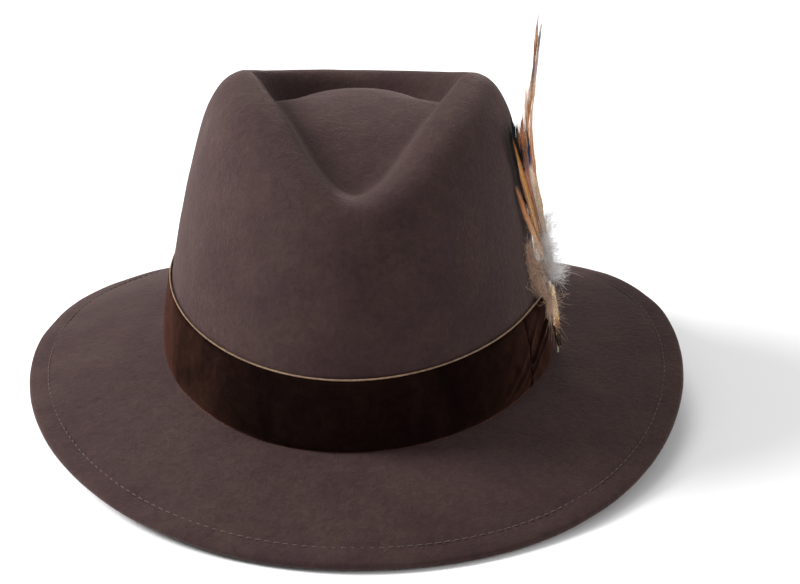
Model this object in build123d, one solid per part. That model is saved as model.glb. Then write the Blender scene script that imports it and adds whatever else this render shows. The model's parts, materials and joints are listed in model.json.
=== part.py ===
from build123d import *

import math
import os

import numpy as np

# A fedora with a teardrop crown, a velvet band and a feather mount that is clipped
# over the band. The front of the hat faces -Y, +Z is up and +X is the wearer's left.
# The origin is on the floor under the middle of the hat, which stands on its brim.
# Every skin of the hat is a stack of closed loops round the crown: a point on it has
# an angle, 0 at the front and 90 degrees at the wearer's left, and a place on the
# section through that angle. Heights are above the break, where crown meets brim.

# ---- driving dimensions, mm ------------------------------------------------------
HEAD_HALF_WIDTH = 83.0  # inside the sweatband, for a head of 58 cm
HEAD_HALF_LENGTH = 101.0
LEATHER = 1.0
FELT = 2.0
VELVET = 1.2
SATIN = 0.6
SKIN_GAP = 0.3  # air left between two layers that lie on each other

BRIM_HALF_WIDTH = 150.0
BRIM_HALF_LENGTH = 166.6
BRIM_DROP = 22.4  # how far the front and back of the brim hang below the break
BRIM_LIFT = 18.0  # how far the sides of the brim stand above its front and back
BRIM_LIFT_SHIFT = 0.25  # radians; the highest point is a little behind the middle
BRIM_SIDE_TILT = 2.3  # the wearer's left side stands higher than the right
BRIM_TWIST = 3.6  # the front left and back right of the brim stand higher
WELT = 1.9  # thickness of the edge that is folded under and sewn
STITCH_SHARE = 0.85  # of the brim's width, from the crown to the line of stitches

CREST_HEIGHT = 127.0  # of the side ridges
TIP_HEIGHT = 102.0  # of the pinched front of the teardrop
CREST_PEAK_Y = 10.0
REAR_SLOPE = 0.364  # behind REAR_SLOPE_Y the ridge falls in a straight line
REAR_SLOPE_Y = 29.6
SIDE_LEAN = 2.2  # the crown's left wall is flatter than its right one
DOME_TOP = (0.0, 16.0, 116.0)  # of the raised middle inside the teardrop

BAND_FOOT = 2.4
BAND_HEIGHT = 33.4
PIPING_RADIUS = 0.6
SWEATBAND_HEIGHT = 38.0
LINING_TIP_HEIGHT = 84.0

MOUNT_ANGLE = 85.6  # degrees; where the feathers are clipped over the band
MOUNT_Y = -8.0
MOUNT_LEAN = 0.1412  # the mount's line leans in by this much for each unit of height
POCKET = 1.55  # the band stands off the felt by this much more at the feathers
POCKET_HALF_ANGLE = 14.0

LOOP_POINTS = 48
ANGLES = np.arange(LOOP_POINTS) * 2 * math.pi / LOOP_POINTS

# Shares of the way from one ring of the hat to the next: across, then up.
WALL = [(0.0, 0.05), (0.02, 0.14), (0.063, 0.25), (0.14, 0.40), (0.24, 0.56), (0.355, 0.72)]
WALL += [(0.47, 0.845), (0.57, 0.915), (0.69, 0.965), (0.83, 0.993), (1.0, 1.0)]
DENT = [(0.2, 0.05), (0.42, 0.24), (0.62, 0.56), (0.8, 0.84), (1.0, 1.0)]
DOME = [(0.12, 0.14), (0.28, 0.44), (0.5, 0.77), (0.75, 0.95), (0.95, 1.0)]
BRIM = [0.985, 0.93, 0.84, 0.83, 0.7, 0.54, 0.38, 0.24, 0.13]
FOOT = [(2.8, 0.25), (1.0, 0.7), (0.25, 2.0)]  # the break: outward, up


# ---- the shape of the hat --------------------------------------------------------
def break_height(t):
    """The break isn't flat: it rises at the sides."""
    return 4.6 * np.sin(t) ** 2 - 1.4 - 1.5 * np.sin(t) + 2.0 * np.sin(2 * t)


def oval(t, half_width, half_length, height):
    return np.array([half_width * np.sin(t), -half_length * np.cos(t), height])


def base(t, outward=0.0, up=0.0):
    """Outer face of the felt at the foot of the crown."""
    grow = LEATHER + SKIN_GAP + FELT + outward
    return oval(t, HEAD_HALF_WIDTH + grow, HEAD_HALF_LENGTH + grow, break_height(t) + up)


def crest_height(y):
    if y < CREST_PEAK_Y:
        front = CREST_PEAK_Y + 74.0
        return CREST_HEIGHT - (CREST_HEIGHT - TIP_HEIGHT) * ((CREST_PEAK_Y - y) / front) ** 2
    turn = REAR_SLOPE_Y - CREST_PEAK_Y
    past = min(y - CREST_PEAK_Y, turn)
    return CREST_HEIGHT - REAR_SLOPE * (past ** 2 / (2 * turn) + max(y - REAR_SLOPE_Y, 0.0))


def crest(t):
    """The ridge round the teardrop: pointed in front, round behind."""
    x = 51 * np.sin(t) - 5 * np.sin(2 * t)
    y = 15.25 - 72.5 * np.cos(t) - 12.75 * np.cos(2 * t) - 4 * np.cos(3 * t)
    return np.array([x, y, crest_height(y)])


def groove(t):
    """The lowest line between the ridge and the raised middle."""
    ridge = crest(t)
    side = np.sin(t) ** 2
    behind = (1 - np.cos(t)) / 2
    share = 0.74 + 0.08 * (1 - behind) ** 2 + 0.07 * behind ** 2
    depth = 2.5 + 7.0 * side + 9.5 * behind
    place = DOME_TOP[:2] + (ridge[:2] - DOME_TOP[:2]) * share
    return np.array([*place, ridge[2] - depth])


def brim_edge(t):
    turned = t - BRIM_LIFT_SHIFT * np.sin(t)
    height = -BRIM_DROP + BRIM_LIFT * abs(np.sin(turned)) ** 3
    height += BRIM_SIDE_TILT * np.sin(t) ** 3 - BRIM_TWIST * np.sin(2 * t) * abs(np.sin(t))
    return oval(t, BRIM_HALF_WIDTH, BRIM_HALF_LENGTH, height)


def between(low, high, across, up):
    place = low[:2] + (high[:2] - low[:2]) * across
    return np.array([*place, low[2] + (high[2] - low[2]) * up])


def brim_point(t, share):
    """On top of the brim: share 0 at the crown and 1 at the edge."""
    return between(base(t), brim_edge(t), share, 0.55 * share + 0.45 * share ** 2)


def wall(t, across, up):
    """On the outer face of the crown's wall, by shares of the way to the ridge."""
    place = between(base(t), crest(t), across, up)
    place[0] -= SIDE_LEAN * (math.sin(math.pi * up) * max(math.sin(t), 0.0)) ** 2
    return place


def wall_point(t, height, outward=0.0):
    """On the wall's outer face, or outward of it, by height above the break."""
    up = height / (crest(t)[2] - base(t)[2])
    across = np.interp(up, [share[1] for share in WALL], [share[0] for share in WALL])
    out = np.array([math.sin(t) / HEAD_HALF_WIDTH, -math.cos(t) / HEAD_HALF_LENGTH, 0.0])
    return wall(t, across, up) + out * outward / np.linalg.norm(out)


def outer_section(t):
    """The upper face of the felt, from near the brim's edge to the middle of the dome."""
    ridge, trough, middle = crest(t), groove(t), np.array(DOME_TOP)
    points = [brim_point(t, share) for share in BRIM]
    points += [base(t, out, up) for out, up in FOOT]
    points += [wall(t, across, up) for across, up in WALL]
    points += [between(ridge, trough, across, up) for across, up in DENT]
    points += [between(trough, middle, across, up) for across, up in DOME]
    return points


def loops(section):
    """Closed loops round the hat, one for each point of a section."""
    return np.array([section(t) for t in ANGLES]).transpose(1, 0, 2)


def sunk(grid, depth):
    """The grid moved into the felt, at right angles to its face."""
    along = np.gradient(grid, axis=0)
    around = np.roll(grid, -1, axis=1) - np.roll(grid, 1, axis=1)
    normal = np.cross(around, along)
    return grid - depth * normal / np.linalg.norm(normal, axis=2, keepdims=True)


# ---- solids ----------------------------------------------------------------------
def wire(loop):
    return Wire([Edge.make_spline([Vector(*p) for p in loop], periodic=True)])


def strips(wires):
    """Faces between each loop and the next."""
    faces = []
    for one, other in zip(wires, wires[1:]):
        faces += Shell.make_loft([one, other], ruled=True).faces()
    return faces


def disc_solid(grid):
    """A solid whose skin runs from one small flat loop to another."""
    wires = [wire(loop) for loop in grid]
    return Solid(Shell([Face(wires[0]), *strips(wires), Face(wires[-1])]))


def ring_solid(grid):
    """A solid ring whose section goes through the loops and back to the first."""
    wires = [wire(loop) for loop in grid]
    return Solid(Shell(strips(wires + wires[:1])))


def round_ring(place, radius):
    """A cord round the hat: place(t, outward, up) gives its line and what is beside it."""
    turns = [k * math.pi / 4 for k in range(8)]
    return ring_solid([
        np.array([place(t, radius * math.cos(a), radius * math.sin(a)) for t in ANGLES])
        for a in turns
    ])


def wall_ring(heights, inner, thickness):
    """A strip that lies on the wall: inner(t) is how far outward its inner face is."""
    def side(height, more):
        return np.array([wall_point(t, height, inner(t) + more) for t in ANGLES])

    outside = [side(height, thickness) for height in heights]
    inside = [side(height, 0.0) for height in reversed(heights)]
    return ring_solid(outside + inside)


def felt_body():
    top = loops(outer_section)
    under = sunk(top, FELT)
    under[-1] = top[-1] - [0, 0, FELT]
    welt = sunk(top, FELT + WELT)
    rim = np.array([brim_edge(t) for t in ANGLES]) - [0, 0, (FELT + WELT) / 2]
    return disc_solid([*top[::-1], rim, *welt[:3], *under[3:]])


def brim_stitching():
    def line(t, outward, up):
        share = STITCH_SHARE + outward / (BRIM_HALF_WIDTH - HEAD_HALF_WIDTH)
        return brim_point(t, share) + [0, 0, 0.4 + up]

    return round_ring(line, 0.22)


def pocket(t):
    """The band's stand-off from the felt, larger where the feathers are clipped."""
    away = (math.degrees(t) - MOUNT_ANGLE) / POCKET_HALF_ANGLE
    return SKIN_GAP + POCKET * math.exp(-away ** 4)


def hatband():
    heights = [BAND_FOOT, 10.0, 18.0, 25.0, BAND_HEIGHT]
    return wall_ring(heights, pocket, VELVET)


def hatband_piping():
    def line(t, outward, up):
        height = BAND_HEIGHT + PIPING_RADIUS + 0.1 + up
        return wall_point(t, height, pocket(t) + VELVET / 2 + outward)

    return round_ring(line, PIPING_RADIUS)


def sweatband():
    heights = [1.2, 10.0, 20.0, 29.0, SWEATBAND_HEIGHT]
    return wall_ring(heights, lambda t: -(FELT + SKIN_GAP + LEATHER), LEATHER)


def sweatband_reed():
    def line(t, outward, up):
        return wall_point(t, up, -(FELT + SKIN_GAP + LEATHER / 2) + outward)

    return round_ring(line, 0.9)


def lining_side():
    heights = [SWEATBAND_HEIGHT + 1.0, 50.0, 61.0, 72.0, LINING_TIP_HEIGHT - 1.8]
    return wall_ring(heights, lambda t: -(FELT + 3 * SKIN_GAP + SATIN), SATIN)


def tip_loop(height, inset):
    flat = LINING_TIP_HEIGHT - 2.0
    rim = np.array([wall_point(t, flat, -inset) for t in ANGLES])
    rim[:, 2] = height
    return rim


def lining_tip():
    panel = Face(wire(tip_loop(LINING_TIP_HEIGHT + 3.0, FELT + 5.0)))
    return extrude(panel, amount=SATIN)


def lining_piping():
    def line(t, outward, up):
        return wall_point(t, LINING_TIP_HEIGHT - 0.4 + up, -(FELT + 2.6) + outward)

    return round_ring(line, 0.8)


def plate(outline, thickness, plane):
    """A flat piece cut to an outline."""
    return extrude(plane * make_face(Polyline(*outline, close=True)), amount=thickness)


def sweatband_bow():
    """A small folded ribbon bow sewn inside the sweatband at the back."""
    half = [(1.6, 1.6), (8.5, 3.4), (8.5, -2.2), (5.0, -1.0), (6.0, -6.0), (3.6, -6.0), (1.6, -1.6)]
    outline = half + [(-x, z) for x, z in reversed(half)]
    face_y = HEAD_HALF_LENGTH - 1.6
    plane = Plane(origin=(0, face_y, 12.0 + break_height(math.pi)), x_dir=(1, 0, 0), z_dir=(0, -1, 0))
    return plate(outline, LEATHER, plane)


def band_keeper():
    """The pleated loop that covers the band's join, just in front of the feathers."""
    first, last, pleats, steps_per_pleat = 63.0, 79.0, 4, 4
    steps = pleats * steps_per_pleat
    sections = []
    for k in range(steps + 1):
        t = math.radians(first + (last - first) * k / steps)
        thickness = 1.1 + 0.4 * math.cos(2 * math.pi * k / steps_per_pleat)
        inner = pocket(t) + VELVET + 0.95
        low, high = BAND_FOOT + 0.3, BAND_HEIGHT - 0.3
        corners = [wall_point(t, low, inner), wall_point(t, high, inner)]
        outward = wall_point(t, low, inner + thickness) - corners[0]
        corners += [corners[1] + outward, corners[0] + outward]
        sections.append(Wire(Polyline(*[Vector(*c) for c in corners], close=True).edges()))
    return Solid.make_loft(sections, ruled=True)


# ---- the feather mount -----------------------------------------------------------
def blade(stations, thickness, turn=0.0):
    """A thin feather or leaf through stations (x, y, height, half width), its face turned forward."""
    across = Vector(math.sin(math.radians(turn)), math.cos(math.radians(turn)), 0)
    sections = []
    for k, (x, y, height, half_width) in enumerate(stations):
        before, after = stations[max(k - 1, 0)], stations[min(k + 1, len(stations) - 1)]
        rise = Vector(after[0] - before[0], 0, after[2] - before[2]).normalized()
        out = across.cross(rise).normalized() * (thickness / 2)
        wide = across * half_width
        middle = Vector(x, y, height)
        corners = [middle - wide - out, middle + wide - out, middle + wide + out, middle - wide + out]
        sections.append(Wire(Polyline(*corners, close=True).edges()))
    return Solid.make_loft(sections, ruled=True)


def mount_x(height, outward):
    """Outward of a straight line up the wall, the line that the mount slides along."""
    foot = wall_point(math.radians(MOUNT_ANGLE), 2.0, 0.0)[0]
    return foot - MOUNT_LEAN * (height - 2.0) + outward


def mount_z(height):
    return height + break_height(math.radians(MOUNT_ANGLE))


def mount_clip():
    """A hairpin of flat spring: one leg behind the band and one in front of it."""
    def leg(outward, heights):
        return [(mount_x(height, outward), mount_z(height)) for height in heights]

    outside = leg(1.35, (6.0, 36.0)) + leg(4.75, (36.0, 12.0))
    inside = leg(4.4, (12.0, 35.5)) + leg(1.7, (35.5, 6.0))
    plane = Plane(origin=(0, MOUNT_Y + 3.5, 0), x_dir=(1, 0, 0), z_dir=(0, -1, 0))
    return plate(outside + inside, 7.0, plane)


def quill_bundle():
    rows = [(0.5, 0.6), (4.0, 2.2), (16.0, 2.6), (30.0, 2.4), (40.0, 1.4)]
    stations = [(mount_x(h, 5.45), MOUNT_Y, mount_z(h), half) for h, half in rows]
    return blade(stations, 1.1)


def quill_binding():
    """Thread wound round the quills where the feathers start."""
    stations = [(mount_x(h, 5.45), MOUNT_Y, mount_z(h), 3.4) for h in (37.0, 39.5)]
    core = [(mount_x(h, 5.45), MOUNT_Y, mount_z(h), 2.6) for h in (36.0, 40.5)]
    return blade(stations, 2.6) - blade(core, 1.5)


def gilt_leaf_clasp():
    """The gilt leaf that covers the quills, tip down, its sides curled in."""
    rows = [(3.0, 0.7), (8.0, 3.4), (16.0, 5.4), (24.0, 5.0), (30.0, 3.0), (33.5, 1.4)]
    stations = [(mount_x(h, 6.55), MOUNT_Y, mount_z(h), half) for h, half in rows]
    return blade(stations, 0.8)


FEATHERS = {
    # name: (thickness, stations of x, y, height above the break, half width)
    "feather_black": (0.5, [
        (84.4, -9.0, 43.0, 2.0), (79.9, -9.0, 62.0, 5.0), (75.8, -8.5, 78.0, 6.5),
        (71.4, -8.5, 95.0, 5.6), (67.8, -8.0, 108.0, 1.0)]),
    "feather_amber_long": (0.5, [
        (85.2, -9.5, 43.0, 1.2), (80.6, -11.5, 62.0, 2.6), (76.2, -12.0, 79.0, 2.6),
        (71.4, -12.0, 95.0, 2.2), (67.4, -12.0, 108.3, 0.5)]),
    "feather_amber_short": (0.5, [
        (86.0, -11.0, 43.0, 1.2), (80.4, -16.0, 60.0, 2.6), (75.0, -18.5, 74.0, 2.2),
        (70.9, -19.0, 86.5, 0.5)]),
    "feather_blue": (0.5, [
        (86.3, -6.5, 43.0, 1.2), (82.4, -5.5, 62.0, 2.4), (78.1, -4.0, 80.0, 3.0),
        (74.2, -3.0, 97.0, 3.2), (71.2, -3.0, 107.0, 1.2)]),
    "feather_tall": (0.5, [
        (87.1, -6.5, 43.0, 1.6), (85.0, -4.5, 56.0, 3.6), (84.0, -3.8, 62.0, 4.0), (81.1, -2.0, 76.0, 4.6),
        (77.5, 0.5, 94.0, 4.8), (76.6, 4.0, 111.0, 4.0), (77.7, 10.0, 121.0, 3.0),
        (78.2, 15.0, 134.0, 2.0), (79.1, 20.0, 146.0, 1.4), (79.8, 25.0, 153.0, 0.6)]),
    "feather_tall_second": (0.5, [
        (88.4, -5.5, 43.0, 1.0), (86.8, -2.0, 58.0, 1.4), (83.2, 2.0, 80.0, 1.6),
        (80.6, 6.0, 101.0, 1.8), (79.9, 12.0, 123.0, 1.6), (81.3, 17.0, 136.0, 1.4),
        (81.5, 22.0, 143.0, 0.5)]),
    "feather_cream": (0.5, [
        (89.4, -8.0, 43.0, 1.6), (86.6, -7.5, 54.0, 3.4), (82.8, -7.0, 70.0, 4.2),
        (79.0, -5.5, 86.0, 3.6), (77.6, -4.0, 98.0, 1.0)]),
    "fluff_white": (2.6, [
        (93.8, -3.0, 42.5, 4.0), (93.3, -1.0, 48.0, 8.0), (91.5, 1.0, 58.0, 8.5),
        (90.0, 3.0, 68.0, 6.0), (88.9, 5.0, 75.0, 2.0)]),
    "fluff_tan": (3.0, [
        (84.2, -19.0, 37.8, 2.0), (82.6, -20.0, 44.0, 4.6), (80.4, -21.5, 51.0, 4.6),
        (78.6, -22.5, 58.0, 2.0)]),
}
FEATHER_TURN = 24.0


def feather(name):
    thickness, stations = FEATHERS[name]
    return blade(stations, thickness, FEATHER_TURN)


# ---- the pieces ------------------------------------------------------------------
PIECES = [felt_body, brim_stitching, hatband, hatband_piping, band_keeper, sweatband]
PIECES += [sweatband_reed, sweatband_bow, lining_side, lining_tip, lining_piping]
PIECES += [mount_clip, quill_bundle, quill_binding, gilt_leaf_clasp]

pieces = {piece.__name__: piece() for piece in PIECES}
pieces.update({name: feather(name) for name in FEATHERS})
floor = pieces["felt_body"].bounding_box().min.Z
print("break above floor", -floor)

os.makedirs("parts", exist_ok=True)
for name, piece in pieces.items():
    export_step(Pos(0, 0, -floor) * piece, f"parts/{name}.step")
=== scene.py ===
import json
import math

import bpy
import numpy as np
from mathutils import Matrix, Vector


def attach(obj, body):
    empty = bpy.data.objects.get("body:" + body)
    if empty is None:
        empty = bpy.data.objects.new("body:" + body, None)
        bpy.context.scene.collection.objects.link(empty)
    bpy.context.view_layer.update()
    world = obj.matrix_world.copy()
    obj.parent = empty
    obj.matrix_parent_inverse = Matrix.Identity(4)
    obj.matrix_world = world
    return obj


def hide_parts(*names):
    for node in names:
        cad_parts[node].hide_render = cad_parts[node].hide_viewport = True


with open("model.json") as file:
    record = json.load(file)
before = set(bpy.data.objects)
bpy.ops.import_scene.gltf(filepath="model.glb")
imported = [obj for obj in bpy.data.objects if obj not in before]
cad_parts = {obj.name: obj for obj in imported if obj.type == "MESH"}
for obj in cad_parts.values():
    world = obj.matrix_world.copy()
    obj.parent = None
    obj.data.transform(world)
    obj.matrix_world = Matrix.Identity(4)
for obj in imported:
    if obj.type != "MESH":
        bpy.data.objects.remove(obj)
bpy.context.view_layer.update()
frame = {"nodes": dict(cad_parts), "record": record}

# A felt fedora. Every shape below is in millimetres above the break, the line where
# crown and brim meet, with the front of the hat at -Y and the wearer's left at +X.
# An angle t goes round the hat, 0 at the front and a quarter turn at the left.

MM = 0.001
BREAK = frame["record"]["mounts"][0]["pos_m"][2] / MM
HEAD_HALF_WIDTH = 83.0
HEAD_HALF_LENGTH = 101.0
LEATHER = 1.0
FELT = 2.0
VELVET = 1.2
SKIN_GAP = 0.3
BRIM_HALF_WIDTH = 150.0
BRIM_HALF_LENGTH = 166.6
BRIM_DROP = 22.4
BRIM_LIFT = 18.0
BRIM_LIFT_SHIFT = 0.25
BRIM_SIDE_TILT = 2.3
BRIM_TWIST = 3.6
WELT = 1.9
WELT_WIDTH = 9.5
STITCH_SHARE = 0.85
CREST_HEIGHT = 127.0
TIP_HEIGHT = 102.0
CREST_PEAK_Y = 10.0
REAR_SLOPE = 0.364
REAR_SLOPE_Y = 29.6
SIDE_LEAN = 2.2
DOME_TOP = np.array([0.0, 16.0, 116.0])
BAND_HEIGHT = 33.4
BAND_FOOT = 0.7
SWEATBAND_HEIGHT = 38.0
LINING_TIP_HEIGHT = 84.0
MOUNT_ANGLE = math.radians(85.6)
MOUNT_Y = -8.0
POCKET = 1.55
MOUNT_LEAN = 0.1412
QUILL_OUT = 5.45
POCKET_HALF_ANGLE = math.radians(14.0)

WALL = [(0.0, 0.05), (0.02, 0.14), (0.063, 0.25), (0.14, 0.40), (0.24, 0.56), (0.355, 0.72)]
WALL += [(0.47, 0.845), (0.57, 0.915), (0.69, 0.965), (0.83, 0.993), (1.0, 1.0)]
DENT = [(0.2, 0.05), (0.42, 0.24), (0.62, 0.56), (0.8, 0.84), (1.0, 1.0)]
DOME = [(0.12, 0.14), (0.28, 0.44), (0.5, 0.77), (0.75, 0.95), (0.95, 1.0)]
BRIM = [0.965, 0.93, 0.84, 0.7, 0.54, 0.38, 0.24, 0.13]
FOOT = [(2.8, 0.25), (1.0, 0.7), (0.25, 2.0)]


# ---- the shape of the hat ----------------------------------------------------------
def points(x, y, z):
    return np.stack(np.broadcast_arrays(x, y, z), axis=-1).astype(float)


def break_height(t):
    return 4.6 * np.sin(t) ** 2 - 1.4 - 1.5 * np.sin(t) + 2.0 * np.sin(2 * t)


def oval(t, half_width, half_length, height):
    return points(half_width * np.sin(t), -half_length * np.cos(t), height)


def base(t, outward=0.0, up=0.0):
    grow = LEATHER + SKIN_GAP + FELT + outward
    return oval(t, HEAD_HALF_WIDTH + grow, HEAD_HALF_LENGTH + grow, break_height(t) + up)


def crest(t):
    """The ridge round the teardrop: pointed in front, round behind."""
    x = 51 * np.sin(t) - 5 * np.sin(2 * t)
    y = 15.25 - 72.5 * np.cos(t) - 12.75 * np.cos(2 * t) - 4 * np.cos(3 * t)
    front = (np.minimum(y, CREST_PEAK_Y) - CREST_PEAK_Y) / (CREST_PEAK_Y + 74.0)
    turn = REAR_SLOPE_Y - CREST_PEAK_Y
    past = np.clip(y - CREST_PEAK_Y, 0, turn)
    height = CREST_HEIGHT - (CREST_HEIGHT - TIP_HEIGHT) * front ** 2
    height = height - REAR_SLOPE * (past ** 2 / (2 * turn) + np.maximum(y - REAR_SLOPE_Y, 0))
    return points(x, y, height)


def groove(t):
    """The lowest line between the ridge and the raised middle."""
    ridge = crest(t)
    behind = (1 - np.cos(t)) / 2
    share = (0.74 + 0.08 * (1 - behind) ** 2 + 0.07 * behind ** 2)[..., None]
    depth = 2.5 + 7.0 * np.sin(t) ** 2 + 9.5 * behind
    place = DOME_TOP[:2] + (ridge[..., :2] - DOME_TOP[:2]) * share
    return points(place[..., 0], place[..., 1], ridge[..., 2] - depth)


def brim_edge(t):
    turned = t - BRIM_LIFT_SHIFT * np.sin(t)
    height = -BRIM_DROP + BRIM_LIFT * np.abs(np.sin(turned)) ** 3
    height = height + BRIM_SIDE_TILT * np.sin(t) ** 3
    height = height - BRIM_TWIST * np.sin(2 * t) * np.abs(np.sin(t))
    return oval(t, BRIM_HALF_WIDTH, BRIM_HALF_LENGTH, height)


def between(low, high, across, up):
    share = points(across, across, up)
    return low + (high - low) * share


def brim_point(t, share):
    return between(base(t), brim_edge(t), share, 0.55 * share + 0.45 * share ** 2)


def wall(t, across, up):
    place = between(base(t), crest(t), across, up)
    lean = SIDE_LEAN * (np.sin(np.pi * np.asarray(up)) * np.maximum(np.sin(t), 0.0)) ** 2
    place[..., 0] -= lean
    return place


def outward_of(t):
    """The level direction out of the hat."""
    return unit(points(np.sin(t) / HEAD_HALF_WIDTH, -np.cos(t) / HEAD_HALF_LENGTH, 0.0))


def wall_point(t, height, outward=0.0):
    """On the wall's outer face, or outward of it, by height above the break."""
    t, height = np.broadcast_arrays(np.asarray(t, float), np.asarray(height, float))
    up = height / (crest(t)[..., 2] - base(t)[..., 2])
    across = np.interp(up, [share[1] for share in WALL], [share[0] for share in WALL])
    return wall(t, across, up) + outward_of(t) * np.asarray(outward)[..., None]


def pocket(t):
    """The band's stand-off from the felt, larger where the feathers are clipped."""
    away = (t - MOUNT_ANGLE) / POCKET_HALF_ANGLE
    return SKIN_GAP + POCKET * np.exp(-away ** 4)


def turns(count):
    return np.arange(count) * 2 * math.pi / count


def unit(vectors):
    return vectors / np.linalg.norm(vectors, axis=-1, keepdims=True)


def lengths_along(line):
    """How far along a line each of its points is."""
    return np.concatenate([[0], np.cumsum(np.linalg.norm(np.diff(line, axis=0), axis=1))])


def looked_up(where, walk, table):
    """Rows of a table of (x, y, z) at places along a walk."""
    return np.stack([np.interp(where, walk, table[:, k]) for k in range(3)], -1)


def closed_up(loop):
    return np.concatenate([loop, loop[:1]])


def smooth_line(keys, counts):
    """A curve through key points, counts[k] steps from key k to the next. Keys go first."""
    keys = np.asarray(keys, float)
    ends = np.concatenate([2 * keys[:1] - keys[1:2], keys, 2 * keys[-1:] - keys[-2:-1]])
    out = []
    for k, count in enumerate(counts):
        p0, p1, p2, p3 = ends[k:k + 4]
        knots = [np.maximum(np.linalg.norm(b - a, axis=-1, keepdims=True), 1e-6) ** 0.5
                 for a, b in ((p0, p1), (p1, p2), (p2, p3))]
        t1, t2 = knots[0], knots[0] + knots[1]
        t3 = t2 + knots[2]
        for step in range(count):
            t = t1 + (t2 - t1) * step / count
            a1 = (t1 - t) / t1 * p0 + t / t1 * p1
            a2 = (t2 - t) / (t2 - t1) * p1 + (t - t1) / (t2 - t1) * p2
            a3 = (t3 - t) / (t3 - t2) * p2 + (t - t2) / (t3 - t2) * p3
            b1 = (t2 - t) / t2 * a1 + t / t2 * a2
            b2 = (t3 - t) / (t3 - t1) * a2 + (t - t1) / (t3 - t1) * a3
            out.append((t2 - t) / (t2 - t1) * b1 + (t - t1) / (t2 - t1) * b2)
    out.append(keys[-1])
    return np.array(out)


def evenly(keys, spacing):
    """smooth_line with steps of about one length."""
    keys = np.asarray(keys, float)
    chords = np.linalg.norm(np.diff(keys, axis=0), axis=-1).reshape(len(keys) - 1, -1).mean(1)
    return smooth_line(keys, [max(1, round(chord / spacing)) for chord in chords])


def grid_normals(grid):
    """Unit normals of a grid of closed loops, out of the hat."""
    along = np.gradient(grid, axis=0)
    around = np.roll(grid, -1, axis=1) - np.roll(grid, 1, axis=1)
    cross = np.cross(around, along)
    return cross / np.maximum(np.linalg.norm(cross, axis=2, keepdims=True), 1e-9)


def waves(place, wavelength, seed, count=7):
    """A soft random field from -1 to 1 made of plane waves."""
    rng = np.random.default_rng(seed)
    total = 0.0
    for _ in range(count):
        direction = unit(rng.normal(size=3))
        length = wavelength * rng.uniform(0.7, 1.4)
        total = total + np.sin(place @ direction * 2 * np.pi / length + rng.uniform(0, 6.3))
    return total / count ** 0.5 / 1.6


# ---- meshes ------------------------------------------------------------------------
def grid_faces(rows, columns, close_rows=False, close_columns=True, first=0):
    """Quads of a grid of points numbered row by row."""
    down = np.arange(rows if close_rows else rows - 1)
    over = np.arange(columns if close_columns else columns - 1)
    a, b = np.meshgrid(down, over, indexing="ij")
    c, d = (a + 1) % rows, (b + 1) % columns
    quads = np.stack([a * columns + b, a * columns + d, c * columns + d, c * columns + b], -1)
    return quads.reshape(-1, 4) + first


def make_piece(name, node, place, faces, material, body="hat", tint=None):
    """A smooth-shaded piece from millimetre points above the break, shown for a CAD node."""
    place = np.asarray(place, float).reshape(-1, 3)
    mesh = bpy.data.meshes.new(name)
    mesh.from_pydata(((place + [0, 0, BREAK]) * MM).tolist(), [], [list(map(int, f)) for f in faces])
    mesh.validate()
    mesh.shade_smooth()
    if tint is not None:
        layer = mesh.color_attributes.new("Tint", "FLOAT_COLOR", "POINT")
        rgba = np.ones((len(place), 4), np.float32)
        rgba[:, :3] = np.asarray(tint).reshape(-1, 3)
        layer.data.foreach_set("color", rgba.ravel())
    mesh.materials.append(material)
    piece = bpy.data.objects.new(name, mesh)
    bpy.context.scene.collection.objects.link(piece)
    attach(piece, body)
    if node:
        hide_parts(node)
    return piece


def loop_piece(name, node, grid, material, close=True):
    """A ring whose section goes through the loops of a grid."""
    return make_piece(name, node, grid, grid_faces(*grid.shape[:2], close_rows=close), material)


def shifted(faces, first):
    """Faces renumbered to follow earlier points."""
    return [[corner + first for corner in face] for face in faces]


def tubes(lines, radii, sides):
    """Round tubes along many lines of one length: lines (n, rings, 3), radii (n, rings)."""
    count, rings = lines.shape[:2]
    tangent = np.gradient(lines, axis=1)
    tangent /= np.maximum(np.linalg.norm(tangent, axis=2, keepdims=True), 1e-9)
    helper = np.where(np.abs(tangent[..., 2:]) > 0.8, [[[1.0, 0, 0]]], [[[0, 0, 1.0]]])
    side = np.cross(tangent, helper)
    side /= np.maximum(np.linalg.norm(side, axis=2, keepdims=True), 1e-9)
    other = np.cross(tangent, side)
    angle = turns(sides)
    ring = side[:, :, None] * np.cos(angle)[:, None] + other[:, :, None] * np.sin(angle)[:, None]
    place = lines[:, :, None] + ring * radii[:, :, None, None]
    one = grid_faces(rings, sides)
    faces = (one[None] + np.arange(count)[:, None, None] * rings * sides).reshape(-1, 4)
    ends = []
    for k in range(count):
        start = k * rings * sides
        ends.append(list(range(start + sides - 1, start - 1, -1)))
        ends.append(list(range(start + (rings - 1) * sides, start + rings * sides)))
    return place.reshape(-1, 3), faces.tolist() + ends


def ribbons(lines, wide):
    """Flat strips along many lines: lines (n, rings, 3), wide (n, rings, 3) half widths."""
    count, rings = lines.shape[:2]
    place = np.stack([lines - wide, lines + wide], axis=2)
    one = grid_faces(rings, 2, close_columns=False)
    faces = (one[None] + np.arange(count)[:, None, None] * rings * 2).reshape(-1, 4)
    return place.reshape(-1, 3), faces


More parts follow.
